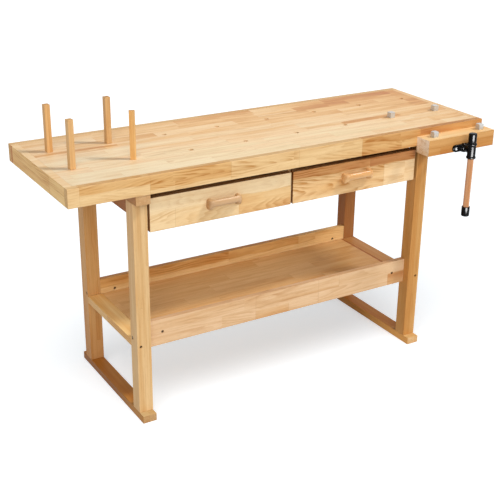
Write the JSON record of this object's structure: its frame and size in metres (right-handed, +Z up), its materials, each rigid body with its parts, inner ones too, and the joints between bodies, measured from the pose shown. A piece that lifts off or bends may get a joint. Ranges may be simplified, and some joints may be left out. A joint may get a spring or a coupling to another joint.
{
  "type": "woodworking bench with a front vise",
  "caption": "Solid wood workbench with a framed top, dog holes, front screw vise, two side-hung drawers and a lower shelf between two trestles.",
  "frame": {"origin": "on the floor, under the middle of the outer box", "axes": "+Z up, +X along the top towards the vise end, -Y towards the user"},
  "size_m": [1.524, 0.626, 0.97],
  "materials": {
    "pale_wood": "satin lacquer on pale finger-jointed hardwood",
    "honey_wood": "satin lacquer on honey-coloured hardwood",
    "amber_wood": "satin lacquer on darker hardwood",
    "plain_wood": "plain sanded wood",
    "black_iron": "black gloss paint on cast iron",
    "black_cap": "black gloss",
    "bright_steel": "zinc plated, brushed"
  },
  "bodies": {
    "bench": {"top_panel": "pale_wood", "front_apron": "pale_wood", "back_apron": "pale_wood", "left_end_cap": "pale_wood", "right_end_cap": "pale_wood", "left_foot": "honey_wood", "left_front_leg": "honey_wood", "left_back_leg": "honey_wood", "left_side_rail": "honey_wood", "left_bearer": "honey_wood", "right_foot": "honey_wood", "right_front_leg": "honey_wood", "right_back_leg": "honey_wood", "right_side_rail": "honey_wood", "right_bearer": "honey_wood", "front_rail": "honey_wood", "back_rail": "honey_wood", "front_shelf_cleat": "plain_wood", "back_shelf_cleat": "plain_wood", "shelf_panel": "amber_wood", "left_front_rail_bolt": "bright_steel", "right_front_rail_bolt": "bright_steel", "left_back_rail_bolt": "bright_steel", "right_back_rail_bolt": "bright_steel", "left_runner": "plain_wood", "right_runner": "plain_wood", "middle_hanger": "plain_wood", "guide_block": "plain_wood", "screw_nut": "black_iron"},
    "left_drawer": {"left_drawer_front": "pale_wood", "left_drawer_outer_side": "plain_wood", "left_drawer_inner_side": "plain_wood", "left_drawer_back": "plain_wood", "left_drawer_floor": "plain_wood", "left_drawer_pull": "pale_wood"},
    "right_drawer": {"right_drawer_front": "pale_wood", "right_drawer_outer_side": "plain_wood", "right_drawer_inner_side": "plain_wood", "right_drawer_back": "plain_wood", "right_drawer_floor": "plain_wood", "right_drawer_pull": "pale_wood"},
    "jaw": {"vise_jaw": "honey_wood", "left_guide_rod": "bright_steel", "right_guide_rod": "bright_steel", "screw_collar": "black_iron"},
    "screw": {"vise_screw": "bright_steel", "screw_hub": "black_iron"},
    "handle": {"handle_dowel": "honey_wood", "handle_top_cap": "black_cap", "handle_bottom_cap": "black_cap"},
    "peg_front_outer": {"front_outer_peg": "amber_wood"},
    "peg_front_inner": {"front_inner_peg": "amber_wood"},
    "peg_back_outer": {"back_outer_peg": "amber_wood"},
    "peg_back_inner": {"back_inner_peg": "amber_wood"},
    "dog_top_inner": {"top_inner_dog": "bright_steel"},
    "dog_top_outer": {"top_outer_dog": "bright_steel"},
    "dog_jaw_inner": {"jaw_inner_dog": "bright_steel"},
    "dog_jaw_outer": {"jaw_outer_dog": "bright_steel"}
  },
  "joints": [
    {"name": "left_drawer_slide", "type": "slide", "parent": "bench", "child": "left_drawer", "axis": [0, -1, 0], "range_m": [0, 0.26]},
    {"name": "right_drawer_slide", "type": "slide", "parent": "bench", "child": "right_drawer", "axis": [0, -1, 0], "range_m": [0, 0.26]},
    {"name": "jaw_slide", "type": "slide", "parent": "bench", "child": "jaw", "axis": [0, -1, 0], "range_m": [0, 0.12]},
    {"name": "screw_turn", "type": "hinge", "parent": "jaw", "child": "screw", "pos_m": [0.62, -0.28, 0.756], "axis": [0, -1, 0], "range_deg": [0, 8640]},
    {"name": "handle_slide", "type": "slide", "parent": "screw", "child": "handle", "axis": [0, 0, 1], "range_m": [0, 0.171]},
    {"name": "peg_front_outer_lift", "type": "slide", "parent": "bench", "child": "peg_front_outer", "axis": [0, 0, 1], "range_m": [0, 0.04]},
    {"name": "peg_front_inner_lift", "type": "slide", "parent": "bench", "child": "peg_front_inner", "axis": [0, 0, 1], "range_m": [0, 0.04]},
    {"name": "peg_back_outer_lift", "type": "slide", "parent": "bench", "child": "peg_back_outer", "axis": [0, 0, 1], "range_m": [0, 0.04]},
    {"name": "peg_back_inner_lift", "type": "slide", "parent": "bench", "child": "peg_back_inner", "axis": [0, 0, 1], "range_m": [0, 0.04]},
    {"name": "dog_top_inner_lift", "type": "slide", "parent": "bench", "child": "dog_top_inner", "axis": [0, 0, 1], "range_m": [0, 0.045]},
    {"name": "dog_top_outer_lift", "type": "slide", "parent": "bench", "child": "dog_top_outer", "axis": [0, 0, 1], "range_m": [0, 0.045]},
    {"name": "dog_jaw_inner_lift", "type": "slide", "parent": "jaw", "child": "dog_jaw_inner", "axis": [0, 0, 1], "range_m": [0, 0.045]},
    {"name": "dog_jaw_outer_lift", "type": "slide", "parent": "jaw", "child": "dog_jaw_outer", "axis": [0, 0, 1], "range_m": [0, 0.045]}
  ],
  "couplings": [
    {"joint": "jaw_slide", "follows": "screw_turn", "m_per_rad": 0.00079577}
  ]
}
